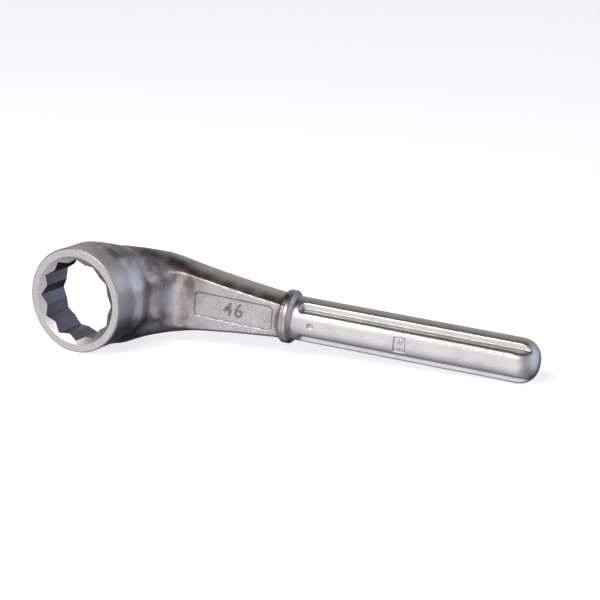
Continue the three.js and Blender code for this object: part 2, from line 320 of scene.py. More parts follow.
class Forging:
    """The wrench as a signed distance, mm: negative in the metal."""

    def __init__(self, sizes):
        self.ring_radius = sizes.ring_radius / MM
        self.face_out = sizes.face_out / MM
        self.back_out = sizes.back_out / MM
        self.mouth_radius = sizes.mouth_radius / MM
        self.tang_radius = sizes.tang_radius / MM
        self.tang_end = sizes.tang_end / MM
        self.collar_at = sizes.collar_at / MM
        self.profile, self.width, self.slope = side_fields()
        self.lattice = np.random.default_rng(WAVE_SEED).uniform(-1, 1, (WAVE_CELLS,) * 3)

    def waves(self, p, size):
        """Smooth random undulation, from -1 to 1, of that wavelength."""
        q = p / size + 17.3
        i = np.floor(q).astype(int)
        f = q - i
        f = f * f * (3 - 2 * f)
        total = 0
        for dx in (0, 1):
            for dy in (0, 1):
                for dz in (0, 1):
                    wx = f[:, 0] if dx else 1 - f[:, 0]
                    wy = f[:, 1] if dy else 1 - f[:, 1]
                    wz = f[:, 2] if dz else 1 - f[:, 2]
                    cell = (i + (dx, dy, dz)) % WAVE_CELLS
                    total = total + wx * wy * wz * self.lattice[cell[:, 0], cell[:, 1], cell[:, 2]]
        return total

    def tang_places(self, p):
        """Along the tang, towards its front, and across it."""
        c, s = math.cos(TANG_LEAN), math.sin(TANG_LEAN)
        along = p[:, 0] * c + (p[:, 1] - TANG_OUT) * s
        to_front = p[:, 0] * s - (p[:, 1] - TANG_OUT) * c
        return along, to_front, p[:, 2]

    def ring(self, p):
        r = np.hypot(p[:, 0], p[:, 2]) - self.ring_radius
        barrel = smooth_max(r, p[:, 1] - self.back_out, RING_BACK_ROUND)
        return np.maximum(barrel, self.face_out - FACING_STOCK - p[:, 1])

    def neck(self, p):
        x, y = p[:, 0], p[:, 1]
        side = (np.abs(p[:, 2]) - self.width(x, y)) / self.slope(x, y)
        return smooth_max(self.profile(x, y), side, NECK_EDGE)

    def clearance(self, p):
        """The drafted pocket behind the ring that leaves room for the stud."""
        rise = p[:, 1] - self.back_out
        radius = self.mouth_radius + rise * math.tan(CLEARANCE_DRAFT)
        cone = (np.hypot(p[:, 0], p[:, 2]) - radius) * math.cos(CLEARANCE_DRAFT)
        return smooth_max(cone, -rise, CLEARANCE_ROUND)

    def tang(self, p):
        """The round bar with its domed end, relieved front and back, less a flute at each corner."""
        u, n, w = self.tang_places(p)
        radius = self.tang_radius
        r = np.hypot(n, w)
        body = rounded_box(r - radius, u - self.tang_end, NOSE_RADIUS)
        body = np.maximum(body, self.collar_at - 2 - u)
        ends = np.maximum(RELIEF_FROM - u, u - RELIEF_TO) / RELIEF_FADE
        relief = smooth_max(np.abs(w) - RELIEF_HALF_WIDTH, ends, 2)
        body = smooth_max(body, -smooth_max(RELIEF * radius - r, relief, 0.8), 1.2)
        floor = FLUTE_FLOOR * radius - np.abs(n)
        wall = FLUTE_WALL * radius + floor * math.tan(FLUTE_DRAFT) - np.abs(w)
        wall = wall * math.cos(FLUTE_DRAFT)
        flute = smooth_max(smooth_max(floor, wall, 1.0), FLUTE_START - u, 3.0)
        return smooth_max(body, -flute, 0.9)

    def panel(self, p):
        """The shallow recess in the shank's front face, with flared walls."""
        lean = math.atan(FACE_SLOPE)
        dx, dy = p[:, 0] - PANEL_FROM, p[:, 1] - face_place(PANEL_FROM, 0)[1]
        along = dx * math.cos(lean) + dy * math.sin(lean) - PANEL_LENGTH / 2
        above = dx * math.sin(lean) - dy * math.cos(lean) + PANEL_DEPTH
        ends, sides = np.abs(along) - PANEL_LENGTH / 2, np.abs(p[:, 2]) - PANEL_HALF_WIDTH
        outline = rounded_box(ends, sides, PANEL_CORNER)
        walls = (outline - PANEL_FLARE * above) / math.hypot(1, PANEL_FLARE)
        return np.maximum(np.maximum(-above, above - CUT_HEADROOM), walls), outline

    def dents(self, p):
        """The hardness dimple, the mark's pad and the knocks of handling."""
        u, n, w = self.tang_places(p)
        r = np.where(n > 0, np.hypot(n, w), 0)
        du, dw = u - PAD_AT, w - PAD_ACROSS
        flat = smooth_max(np.abs(du) - PAD_LENGTH / 2, np.abs(dw) - PAD_WIDTH / 2, 1.2)
        cuts = np.maximum(PAD_FLOOR - r, flat - PAD_FLARE * (r - PAD_FLOOR))
        for along, across, half in PAD_MARKS:
            mark = np.maximum(np.abs(du - along) - PAD_MARK_HALF_WIDTH, np.abs(dw - across) - half)
            cuts = smooth_max(cuts, np.minimum(-mark, PAD_FLOOR + PAD_MARK_HEIGHT - r), 0.3)
        for (x, y, z), radius in DENTS:
            cuts = np.minimum(cuts, np.linalg.norm(p - (x, y, z), axis=1) - radius)
        return cuts

    def collar(self, p):
        u, n, w = self.tang_places(p)
        r = np.hypot(n, w)
        along = np.abs(u - self.collar_at)
        fall, run = COLLAR_BEVEL
        out = r - COLLAR_RADIUS
        bevel = ((along - COLLAR_LAND) * fall + out * run) / math.hypot(fall, run)
        return smooth_max(smooth_max(out, bevel, 0.5), along - COLLAR_HALF_WIDTH, 1)

    def __call__(self, p):
        y, z = p[:, 1], p[:, 2]
        root = ramp(y, 0, 12) ** 1.5
        shoulder = ramp(np.abs(z), 18, 28) * ramp(y, -2, 8)
        spread = np.maximum(root, shoulder) * (1 - RESTING_SIDE_LESS * ramp(z, -16, -28))
        blend = RING_BLEND + ROOT_BLEND * spread
        body = smooth_min(self.ring(p), self.neck(p), blend)
        body = smooth_max(body, -self.clearance(p), 3)
        handle = smooth_min(self.tang(p), self.collar(p), 1.0)
        body = smooth_min(body, handle, 1.2)
        body = smooth_max(body, -self.panel(p)[0], 0.3)
        body = smooth_max(body, -self.dents(p), 0.3)
        return body + WAVE_HEIGHT * self.waves(p, WAVE_LENGTH)

    def gradient(self, p, step=0.05):
        sides = []
        for axis in range(3):
            shift = np.zeros(3)
            shift[axis] = step
            sides.append(self(p + shift) - self(p - shift))
        return np.stack(sides, 1) / (2 * step)


def surface_net(shape, low, high, step):
    """Quads on the zero level of the distance, one vertex in each crossed cell."""
    axes = [np.arange(a, b + step, step) for a, b in zip(low, high)]
    count = tuple(len(a) for a in axes)
    values = np.empty(count, np.float32)
    yz = np.stack(np.meshgrid(axes[1], axes[2], indexing="ij"), -1).reshape(-1, 2)
    slab = 24
    for start in range(0, count[0], slab):
        xs = axes[0][start:start + slab]
        points = np.empty((len(xs) * len(yz), 3))
        points[:, 0] = np.repeat(xs, len(yz))
        points[:, 1:] = np.tile(yz, (len(xs), 1))
        values[start:start + slab] = shape(points).reshape(len(xs), count[1], count[2])
    inside = values < 0
    total = np.zeros([n - 1 for n in count] + [3])
    hits = np.zeros([n - 1 for n in count])
    cells = [slice(0, n - 1) for n in count]

    def shifted(offset):
        return tuple(slice(o, n - 1 + o) for o, n in zip(offset, count))

    corners = [(a, b, c) for a in (0, 1) for b in (0, 1) for c in (0, 1)]
    for corner in corners:
        for axis in range(3):
            if corner[axis]:
                continue
            other = tuple(c + (k == axis) for k, c in enumerate(corner))
            va, vb = values[shifted(corner)], values[shifted(other)]
            cut = (va < 0) != (vb < 0)
            t = np.where(cut, va / np.where(cut, va - vb, 1), 0)
            for k in range(3):
                total[..., k] += cut * (corner[k] + (t if k == axis else 0))
            hits += cut
    used = hits > 0
    index = np.full(used.shape, -1)
    index[used] = np.arange(used.sum())
    base = np.stack(np.nonzero(used), 1)
    points = (base + total[used] / hits[used][:, None]) * step + np.array(low)
    quads = []
    for axis in range(3):
        b, c = (axis + 1) % 3, (axis + 2) % 3
        ends = [slice(1, n - 1) for n in count]
        ends[axis] = slice(0, count[axis] - 1)
        nexts = list(ends)
        nexts[axis] = slice(1, count[axis])
        first, second = inside[tuple(ends)], inside[tuple(nexts)]
        for into, way in ((first & ~second, 1), (second & ~first, -1)):
            where = np.stack(np.nonzero(into), 1)
            where[:, b] += 1
            where[:, c] += 1
            ring = []
            for db, dc in ((-1, -1), (0, -1), (0, 0), (-1, 0)):
                cell = where.copy()
                cell[:, b] += db
                cell[:, c] += dc
                ring.append(index[cell[:, 0], cell[:, 1], cell[:, 2]])
            quads.append(np.stack(ring[::way], 1))
    return points, np.vstack(quads)


def settle(shape, points, rounds=3, reach=0.4):
    """Moves the points onto the zero level."""
    for _ in range(rounds):
        gradient = shape.gradient(points)
        length = np.maximum((gradient**2).sum(1), 0.05)
        move = -(shape(points) / length)[:, None] * gradient
        size = np.linalg.norm(move, axis=1)[:, None]
        points = points + move * np.minimum(1, reach / np.maximum(size, 1e-9))
    return points


def refined(points, quads, chosen):
    """Splits the chosen quads in four; their neighbours take the new corners."""
    forging = bmesh.new()
    corners = [forging.verts.new(p) for p in points]
    faces = [forging.faces.new([corners[i] for i in quad]) for quad in quads]
    edges = {edge for face, pick in zip(faces, chosen) if pick for edge in face.edges}
    bmesh.ops.subdivide_edges(forging, edges=sorted(edges, key=edge_key), cuts=1, use_grid_fill=True)
    forging.verts.index_update()
    new_points = np.array([v.co[:] for v in forging.verts])
    new_faces = [[v.index for v in face.verts] for face in forging.faces]
    forging.free()
    return new_points, new_faces


def edge_key(edge):
    return sorted(tuple(v.co) for v in edge.verts)


def mesh_from(name, points, faces):
    mesh = bpy.data.meshes.new(name)
    mesh.from_pydata(np.asarray(points).tolist(), [], [list(face) for face in faces])
    mesh.update()
    return mesh


def new_object(name, mesh):
    piece = bpy.data.objects.new(name, mesh)
    bpy.context.scene.collection.objects.link(piece)
    return piece


def mesh_points(mesh):
    co = np.empty(len(mesh.vertices) * 3)
    mesh.vertices.foreach_get("co", co)
    return co.reshape(-1, 3)


def wrench_to_row(sizes):
    """From the wrench's own frame, mm, to the row's, m: pitched to stand on the ring and the tang's end."""
    nose = (sizes.tang_end / MM - NOSE_RADIUS) * math.cos(TANG_LEAN)
    pitch = math.asin((sizes.ring_radius - sizes.tang_radius) / MM / nose)
    centre = Vector((LOW.x + sizes.ring_radius, LOW.y - sizes.face_out, LOW.z + sizes.ring_radius))
    return Matrix.Translation(centre) @ Matrix.Rotation(pitch, 4, "Y") @ Matrix.Scale(MM, 4)


# ---- Geometry Nodes: the broach that cuts the ring's points ----


def broach_tree(material):
    """A star prism along Y, closed at both ends."""
    tree = bpy.data.node_groups.new("twelve_point_broach", "GeometryNodeTree")
    face = tree.interface
    inputs = (
        ("Points", "NodeSocketInt", 12),
        ("Inner Radius", "NodeSocketFloat", 23.81),
        ("Outer Radius", "NodeSocketFloat", 26.56),
        ("Turn", "NodeSocketFloat", 0.0),
        ("Start", "NodeSocketFloat", -14.0),
        ("Length", "NodeSocketFloat", 36.0),
    )
    for name, kind, default in inputs:
        face.new_socket(name, in_out="INPUT", socket_type=kind).default_value = default
    face.new_socket("Geometry", in_out="OUTPUT", socket_type="NodeSocketGeometry")

    def node(kind, values=(), **settings):
        made = tree.nodes.new(kind)
        for key, value in settings.items():
            setattr(made, key, value)
        for key, value in dict(values).items():
            if isinstance(value, bpy.types.NodeSocket):
                tree.links.new(value, made.inputs[key])
            else:
                made.inputs[key].default_value = value
        return made

    given = node("NodeGroupInput").outputs
    star_inputs = {name: given[name] for name in ("Points", "Inner Radius", "Outer Radius")}
    star = node("GeometryNodeCurveStar", star_inputs)
    flat = node("GeometryNodeFillCurve", {"Curve": star.outputs["Curve"]})
    raised = node("GeometryNodeExtrudeMesh", {
        "Mesh": flat.outputs["Mesh"], "Offset Scale": given["Length"], "Individual": False,
    }, mode="FACES")
    foot = node("GeometryNodeFlipFaces", {"Mesh": flat.outputs["Mesh"]})
    both = node("GeometryNodeJoinGeometry")
    tree.links.new(raised.outputs["Mesh"], both.inputs[0])
    tree.links.new(foot.outputs["Mesh"], both.inputs[0])
    closed = node("GeometryNodeMergeByDistance", {"Geometry": both.outputs[0], "Distance": 0.001})
    turned = node("ShaderNodeCombineXYZ", {"Z": given["Turn"]})
    spun = node("GeometryNodeTransform", {"Geometry": closed.outputs[0], "Rotation": turned.outputs[0]})
    place = node("ShaderNodeCombineXYZ", {"Y": given["Start"]})
    laid = node("GeometryNodeTransform", {
        "Geometry": spun.outputs[0], "Rotation": (-math.pi / 2, 0, 0), "Translation": place.outputs[0],
    })
    real = node("GeometryNodeRealizeInstances", {"Geometry": laid.outputs[0]})
    painted = node("GeometryNodeSetMaterial", {"Geometry": real.outputs[0], "Material": material})
    out = node("NodeGroupOutput")
    tree.links.new(painted.outputs[0], out.inputs[0])
    return tree


def broach(sizes, material):
    """The broach as a plain mesh object."""
    holder = new_object("broach", bpy.data.meshes.new("broach"))
    tree = broach_tree(material)
    modifier = holder.modifiers.new("broach", "NODES")
    modifier.node_group = tree
    half = sizes.across_flats / MM / 2
    step = math.pi / sizes.points
    values = {
        "Points": sizes.points,
        "Inner Radius": half / math.cos(step),
        "Outer Radius": half / math.cos(2 * step),
        "Turn": -sizes.broach_turn,
        "Start": sizes.face_out / MM - 4,
        "Length": (sizes.back_out - sizes.face_out) / MM + 12,
    }
    for item in tree.interface.items_tree:
        if item.in_out == "INPUT":
            modifier[item.identifier] = values[item.name]
    bpy.context.view_layer.update()
    mesh = bpy.data.meshes.new_from_object(holder.evaluated_get(bpy.context.evaluated_depsgraph_get()))
    bpy.data.objects.remove(holder)
    return new_object("broach_cutter", mesh)


def turned_cutter(name, profile, material, sides=192):
    """A closed body turned about Y from radius and out pairs that start and end on the axis."""
    angles = np.linspace(0, 2 * math.pi, sides, endpoint=False)
    points = [(0.0, profile[0][1], 0.0)]
    for radius, out in profile[1:-1]:
        points += [(radius * math.cos(a), out, radius * math.sin(a)) for a in angles]
    points.append((0.0, profile[-1][1], 0.0))
    faces = []
    rings = len(profile) - 2
    last = len(points) - 1
    for i in range(sides):
        j = (i + 1) % sides
        faces.append((0, 1 + i, 1 + j))
        for k in range(rings - 1):
            a, b = 1 + k * sides, 1 + (k + 1) * sides
            faces.append((a + i, b + i, b + j, a + j))
        faces.append((last, 1 + (rings - 1) * sides + j, 1 + (rings - 1) * sides + i))
    mesh = mesh_from(name, points, faces)
    mesh.materials.append(material)
    cutter = new_object(name, mesh)
    outward(cutter)
    return cutter


def outward(piece):
    """Turns a closed piece's faces outwards, by the sign of its volume."""
    mesh = piece.data
    mesh.calc_loop_triangles()
    co = mesh_points(mesh)
    tri = np.array([t.vertices[:] for t in mesh.loop_triangles])
    a, b, c = co[tri[:, 0]], co[tri[:, 1]], co[tri[:, 2]]
    if (np.cross(a, b) * c).sum() < 0:
        mesh.flip_normals()


def cut(piece, cutter, operation="DIFFERENCE"):
    """One clean boolean, with the cutter's own finish on the new faces."""
    modifier = piece.modifiers.new("cut", "BOOLEAN")
    modifier.operation = operation
    modifier.solver = "MANIFOLD"
    modifier.material_mode = "TRANSFER"
    modifier.object = cutter
    bpy.context.view_layer.update()
    mesh = bpy.data.meshes.new_from_object(piece.evaluated_get(bpy.context.evaluated_depsgraph_get()))
    if len(mesh.polygons) in (0, len(piece.data.polygons)):
        raise RuntimeError(f"{cutter.name} did not cut cleanly")
    piece.modifiers.clear()
    old = piece.data
    piece.data = mesh
    bpy.data.meshes.remove(old)
    bpy.data.objects.remove(cutter)


# ---- materials ----


class Wire:
    """A number socket that adds the Math nodes of an expression."""

    def __init__(self, finish, socket):
        self.finish = finish
        self.socket = socket

    def _math(self, operation, *terms):
        made = self.finish.node("ShaderNodeMath", {"operation": operation}, dict(enumerate(terms)))
        return Wire(self.finish, made.outputs[0])

    def __add__(self, other):
        return self._math("ADD", self, other)

    def __sub__(self, other):
        return self._math("SUBTRACT", self, other)

    def __rsub__(self, other):
        return self._math("SUBTRACT", other, self)

    def __mul__(self, other):
        return self._math("MULTIPLY", self, other)

    __radd__ = __add__
    __rmul__ = __mul__

    def clamped(self, low=0.0, high=1.0):
        return self._math("MINIMUM", self._math("MAXIMUM", self, low), high)

    def band(self, low, high):
        """0 below low, 1 above high, smooth between."""
        made = self.finish.node(
            "ShaderNodeMapRange",
            {"interpolation_type": "SMOOTHSTEP"},
            {"Value": self, "From Min": low, "From Max": high},
        )
        return Wire(self.finish, made.outputs[0])


class Nodes:
    """A node tree in the making."""

    def __init__(self, tree):
        self.tree = tree
        self.tree.nodes.clear()

    def node(self, kind, settings=(), values=()):
        """Adds a node: its settings first, then the values or links of its sockets."""
        made = self.tree.nodes.new(kind)
        for key, value in dict(settings).items():
            setattr(made, key, value)
        for key, value in dict(values).items():
            if isinstance(value, Wire):
                value = value.socket
            if isinstance(value, bpy.types.NodeSocket):
                self.tree.links.new(value, made.inputs[key])
            else:
                made.inputs[key].default_value = value
        return made

    def mixed(self, amount, first, second):
        """A colour between two, by a number."""
        made = self.node("ShaderNodeMix", {"data_type": "RGBA"}, {"Factor": amount})
        for socket, value in ((made.inputs[6], first), (made.inputs[7], second)):
            if isinstance(value, bpy.types.NodeSocket):
                self.tree.links.new(value, socket)
            else:
                socket.default_value = tuple(value)[:3] + (1,)
        return made.outputs[2]


class Finish(Nodes):
    """A material in the making."""

    def __init__(self, name):
        self.material = bpy.data.materials.new(name)
        self.material.use_nodes = True
        super().__init__(self.material.node_tree)
        self.shader = self.node("ShaderNodeBsdfPrincipled")
        out = self.node("ShaderNodeOutputMaterial")
        self.tree.links.new(self.shader.outputs[0], out.inputs["Surface"])

    def feed(self, **sockets):
        for name, value in sockets.items():
            socket = self.shader.inputs[name.replace("_", " ")]
            if isinstance(value, Wire):
                value = value.socket
            if isinstance(value, bpy.types.NodeSocket):
                self.tree.links.new(value, socket)
            else:
                socket.default_value = value

    def attribute(self, name):
        made = self.node("ShaderNodeAttribute", {"attribute_type": "GEOMETRY", "attribute_name": name})
        return Wire(self, made.outputs["Fac"])

    def place(self, size, stretch, seed):
        """Object coordinates counted in features of that many millimetres, shifted by the seed."""
        made = self.node("ShaderNodeTexCoord").outputs["Object"]
        scale = tuple(s / (size * MM) for s in stretch)
        values = {"Vector": made, "Scale": scale, "Location": (seed, seed, seed)}
        return self.node("ShaderNodeMapping", {}, values).outputs[0]

    def noise(self, size, detail=2.0, roughness=0.5, stretch=(1, 1, 1), seed=0.0):
        """Noise whose features are about that many millimetres across."""
        place = self.place(size, stretch, seed)
        values = {"Vector": place, "Scale": 1.0, "Detail": detail, "Roughness": roughness}
        return Wire(self, self.node("ShaderNodeTexNoise", {}, values).outputs["Fac"])

    def pits(self, size, seed=0.0):
        """Distance to the nearest of scattered cells about that many millimetres apart."""
        values = {"Vector": self.place(size, (1, 1, 1), seed), "Scale": 1.0}
        return Wire(self, self.node("ShaderNodeTexVoronoi", {}, values).outputs["Distance"])

    def bump(self, height, depth):
        """Relief of that depth in millimetres."""
        values = {"Height": height, "Distance": depth * MM, "Strength": 1.0}
        return self.node("ShaderNodeBump", {}, values).outputs[0]


def forged_chrome(colours):
    """Satin chrome over a shot-blasted forging: pebbled and smudged, darker in corners as painted shade and
    brighter on edges as a painted highlight.
    """
    made = Finish("satin_chrome_forged")
    grain = made.attribute("grain")
    crevice_shade = made.attribute("crevice_shade")
    edge = made.attribute("edge")
    soot_and_shade = made.attribute("soot_and_shade")
    pebble = made.noise(1.7, 3.0, 0.6)
    fine = made.noise(0.7, 2.0, 0.6, seed=3.1)
    cloud = made.noise(13.0, 3.0, 0.6, seed=8.4)
    blotch = made.noise(9.0, 3.0, 0.5, seed=21.7)
    specks = 1 - made.pits(2.6, seed=5.0).band(0.10, 0.26)
    sparse = made.noise(5.0, 1.0, 0.5, seed=40.0).band(0.56, 0.66)

    base = made.mixed(cloud.band(0.3, 0.75) * 0.55, colours.chrome, colours.chrome_shade)
    base = made.mixed(grain * 0.4 + grain * 0.5 * pebble.band(0.42, 0.62), base, colours.chrome_shade)
    base = made.mixed(fine.band(0.45, 0.75) * (0.12 + 0.3 * grain), base, colours.grime_and_shade)
    # painted shade: inner corners and the panel's edge darkened towards the dark grain colour
    base = made.mixed((crevice_shade * 0.9 + 0.12 * fine).clamped(0, 0.85), base, colours.grime_and_shade)
    # brown and black stains, and painted shade under the neck, in the bend's hollow and near the bend
    base = made.mixed((soot_and_shade * (0.25 + 0.75 * blotch.band(0.28, 0.72))).clamped(0, 0.9), base, colours.soot_and_shade)
    base = made.mixed((specks * sparse * 0.55 * grain).clamped(0, 0.7), base, colours.soot_and_shade)
    # painted highlight: outer edges brightened, partly standing for worn plating
    base = made.mixed((edge * 0.8 * (1 - 0.5 * fine)).clamped(0, 0.8), base, colours.bright_edge)

    rough = colours.roughness + 0.10 * (cloud - 0.5) + 0.14 * (fine - 0.5) + 0.10 * grain
    rough = rough + 0.12 * crevice_shade - 0.07 * edge
    height = pebble * (0.14 + 0.86 * grain) + 0.3 * fine * (0.3 + 0.7 * grain)
    height = height - 0.35 * specks * sparse * grain
    made.feed(
        Base_Color=base,
        Metallic=1.0,
        Roughness=rough.clamped(0.12, 0.8),
        Normal=made.bump(height, colours.grain_depth / MM),
    )
    return made.material


def ground_chrome(colours):
    """The ring's working face: faced flat, blasted and plated, with a sparkling matt grain."""
    made = Finish("satin_chrome_ground")
    grit = made.noise(0.7, 2.0, 0.7, seed=1.3)
    cloud = made.noise(7.0, 2.0, 0.5, seed=2.0)
    specks = 1 - made.pits(1.7, seed=9.0).band(0.12, 0.30)
    base = made.mixed(cloud.band(0.35, 0.7) * 0.35, colours.face, colours.chrome_shade)
    base = made.mixed(specks * 0.5, base, colours.bore_light)
    base = made.mixed(grit.band(0.5, 0.75) * 0.45, base, colours.grime_and_shade)
    made.feed(
        Base_Color=base,
        Metallic=1.0,
        Roughness=(0.40 + 0.25 * (grit - 0.5)).clamped(0.2, 0.8),
        Normal=made.bump(grit - 0.5 * specks, 0.03),
    )
    return made.material


def marked_chrome(colours):
    """The raised figures, with grime left among them."""
    made = Finish("satin_chrome_marked")
    cloud = made.noise(1.2, 2.0, 0.6, seed=12.0)
    made.feed(
        Base_Color=made.mixed(cloud.band(0.3, 0.7) * 0.6, colours.grime_and_shade, colours.bore_light),
        Metallic=1.0,
        Roughness=0.45,
    )
    return made.material


def broached_chrome(colours):
    """The points' walls: fine lines along the ring's axis, darker and bluish as painted shade and a painted
    reflection inside the opening.
    """
    made = Finish("satin_chrome_broached")
    lines = made.noise(0.8, 3.0, 0.6, stretch=(1, 0.035, 1))
    cloud = made.noise(9.0, 2.0, 0.6, stretch=(1, 0.5, 1), seed=4.0)
    light = (0.3 * lines + cloud.band(0.35, 0.75) * 0.6).clamped()
    # dark bluish walls as painted shade and painted reflection, lighter in random clouds
    base = made.mixed(light, colours.bore, colours.bore_light)
    made.feed(
        Base_Color=base,
        Metallic=1.0,
        Roughness=(0.34 + 0.2 * (lines - 0.5) + 0.1 * cloud).clamped(0.15, 0.7),
        Normal=made.bump(lines, 0.012),
    )
    return made.material


# ---- what a user would change ----


def length(name, description, default):
    return bpy.props.FloatProperty(
        name=name, description=description, default=default, unit="LENGTH", precision=4
    )


def angle(name, description, degrees):
    return bpy.props.FloatProperty(
        name=name, description=description, default=math.radians(degrees), subtype="ANGLE"
    )


def colour(name, description, default):
    return bpy.props.FloatVectorProperty(
        name=name, description=description, default=default, subtype="COLOR", size=3, min=0, max=1
    )


class WrenchSizes(bpy.types.PropertyGroup):
    """Sizes of the forging, the ring's opening and the marks."""

    across_flats: length("Across flats", "Size of the nut that the ring turns", 0.046)
    points: bpy.props.IntProperty(
        name="Points", description="Points of the ring's opening", default=12, min=6
    )
    broach_turn: angle("Turn", "How far the points are turned about the ring's axis", 4)
    ring_radius: length("Ring radius", "Outside of the ring", (HIGH.z - LOW.z) / 2)
    face_out: length("Face", "Working face, from the ring's middle", -0.012)
    back_out: length("Back", "Back face of the ring, from its middle", 0.0145)
    mouth_radius: length("Mouth radius", "Where the opening's chamfer meets a face", 0.0284)
    mouth_angle: angle("Mouth angle", "Between the opening's chamfer and the face", 30)
    tang_radius: length("Tang radius", "Round tang that a pull tube slides over", 0.014)
    tang_end: length("Tang end", "Distance along the tang's axis", 0.279)
    collar_at: length("Collar", "Middle of the collar, along the tang's axis", 0.1185)
    mark_height: length("Mark height", "Height of the size's figures", 0.0088)
    mesh_step: length("Mesh step", "Size of the forging's faces", 0.0008)


class ChromeColours(bpy.types.PropertyGroup):
    """Colours and surface of the plating."""

    chrome: colour("Chrome", "Satin chrome on the forging", (0.74, 0.715, 0.70))
    chrome_shade: colour("Shade", "Thinner, duller plating", (0.56, 0.55, 0.56))
    # dark grain colour, also used as painted shade in inner corners and along the panel's edge
    grime_and_shade: colour("Grime", "Inner corners and panel edges", (0.20, 0.18, 0.18))
    # brown and black stains and pits, also used as painted shade under the neck and in the bend's hollow
    soot_and_shade: colour("Soot", "Brown and black stains", (0.19, 0.15, 0.13))
    # brighter outer edges: worn plating and a painted highlight
    bright_edge: colour("Bright edge", "Rubbed outer edges", (0.92, 0.91, 0.91))
    face: colour("Face", "Ground working face", (0.59, 0.56, 0.56))
    # painted shade and painted bluish reflection inside the opening
    bore: colour("Bore", "Broached walls", (0.20, 0.20, 0.27))
    bore_light: colour("Bore, light", "Broached walls where the plating is thicker", (0.34, 0.31, 0.30))
    roughness: bpy.props.FloatProperty(
        name="Roughness", description="Of the plating", default=0.37, min=0, max=1, subtype="FACTOR"
    )
    grain_depth: length("Grain depth", "Of the pebbled forging skin", 0.00034)


class StudioSettings(bpy.types.PropertyGroup):
    """Camera and light."""

    azimuth: angle("Azimuth", "Round from the front, to the right", 27.842)
    elevation: angle("Elevation", "Above the horizon", 14.836)
    roll: angle("Roll", "Tilt about the line of sight", 1.2)
    distance: length("Distance", "From the aim to the camera", 1.0222)
    lens: bpy.props.FloatProperty(name="Lens", description="Focal length, mm", default=99.67, min=1)
    floor: colour("Floor", "Plain pale floor", (0.90, 0.90, 0.90))
    floor_glow: bpy.props.FloatProperty(
        name="Floor glow", description="Evens out the floor, as a lit table does", default=0.72, min=0
    )


# ---- operators ----


def forging_piece():
    piece = bpy.data.objects.get(FORGING)
    if piece is None:
        raise RuntimeError("forge the blank first")
    return piece


class WRENCH_OT_forge(bpy.types.Operator):
    """Forge the blank: the ring, neck, shank, collar and fluted tang in one skin"""

    bl_idname = "wrench.forge"
    bl_label = "Forge the blank"

    def execute(self, context):
        sizes = context.scene.wrench_sizes
        shape = Forging(sizes)
        step = sizes.mesh_step / MM
        points, quads = surface_net(shape, BLANK_LOW, BLANK_HIGH, step)
        points = settle(shape, points)
        middles = points[quads].mean(1)
        recess, outline = shape.panel(middles)
        # smaller faces round the panel's edge, the small marks and the collar
        fine = (recess < 1) & (outline > -2)
        fine |= np.abs(shape.dents(middles)) < 0.7
        fine |= np.abs(shape.tang_places(middles)[0] - shape.collar_at) < COLLAR_HALF_WIDTH + 0.5
        points, faces = refined(points, quads, fine)
        points = settle(shape, points, rounds=2)
        mesh = mesh_from(FORGING, points, faces)
        mesh.materials.append(forged_chrome(context.scene.wrench_colours))
        outward(new_object(FORGING, mesh))
        return {"FINISHED"}


class WRENCH_OT_broach(bpy.types.Operator):
    """Face the ring, chamfer both mouths of its opening and broach the twelve points"""

    bl_idname = "wrench.broach"
    bl_label = "Face and broach the ring"

    def execute(self, context):
        sizes = context.scene.wrench_sizes
        colours = context.scene.wrench_colours
        piece = forging_piece()
        face, back = sizes.face_out / MM, sizes.back_out / MM
        mouth, radius = sizes.mouth_radius / MM, sizes.ring_radius / MM
        deep = mouth * math.tan(sizes.mouth_angle)
        ground = ground_chrome(colours)
        wide, clear = radius + FACING_OVER, face - 6
        facing = [
            (0, face + deep), (mouth, face), (radius - FACE_EDGE, face),
            (wide, face + FACE_EDGE + FACING_OVER), (wide, clear), (0, clear),
        ]
        relief = [(0, back - deep), (mouth, back), (mouth, back + 0.4), (0, back + 0.4)]
        cut(piece, turned_cutter("facing_cutter", facing, ground))
        cut(piece, turned_cutter("relief_cutter", relief, ground))
        cut(piece, broach(sizes, broached_chrome(colours)))
        return {"FINISHED"}


class WRENCH_OT_mark(bpy.types.Operator):
    """Raise the size in millimetres on the panel's floor"""

    bl_idname = "wrench.mark"
    bl_label = "Raise the size mark"

    def execute(self, context):
        sizes = context.scene.wrench_sizes
        piece = forging_piece()
        text = bpy.data.curves.new("size_mark", "FONT")
        text.body = f"{sizes.across_flats / MM:.0f}"
        text.size = sizes.mark_height / MM / CAPITAL_SHARE
        text.align_x, text.align_y = "CENTER", "CENTER"
        text.extrude = PANEL_DEPTH / 2
        text.offset = MARK_WEIGHT
        text.space_character = MARK_SPACING
        text.resolution_u = 6
        writing = new_object("size_mark", text)
        bpy.context.view_layer.update()
        mesh = bpy.data.meshes.new_from_object(writing.evaluated_get(context.evaluated_depsgraph_get()))
        bpy.data.objects.remove(writing)
        lean = math.atan(FACE_SLOPE)
        run = Vector((math.cos(lean), math.sin(lean), 0))
        front = Vector((math.sin(lean), -math.cos(lean), 0))
        start = Vector(face_place(PANEL_FROM, 0)[:2] + (0,))
        place = start + run * PANEL_LENGTH / 2 - front * (PANEL_DEPTH + MARK_SINK)
        turn = Matrix((run, Vector((0, 0, 1)), front)).transposed().to_4x4()
        mesh.transform(Matrix.Translation(place) @ turn)
        mark = new_object("size_mark", mesh)
        welded(mesh)
        mesh.materials.clear()
        mesh.materials.append(marked_chrome(context.scene.wrench_colours))
        outward(mark)
        cut(piece, mark, "UNION")
        return {"FINISHED"}


def welded(mesh):
    """Merges the doubled corners of a text's mesh, so that it is closed."""
    letters = bmesh.new()
    letters.from_mesh(mesh)
    bmesh.ops.remove_doubles(letters, verts=letters.verts, dist=1e-4)
    bmesh.ops.recalc_face_normals(letters, faces=letters.faces)
    letters.to_mesh(mesh)
    letters.free()


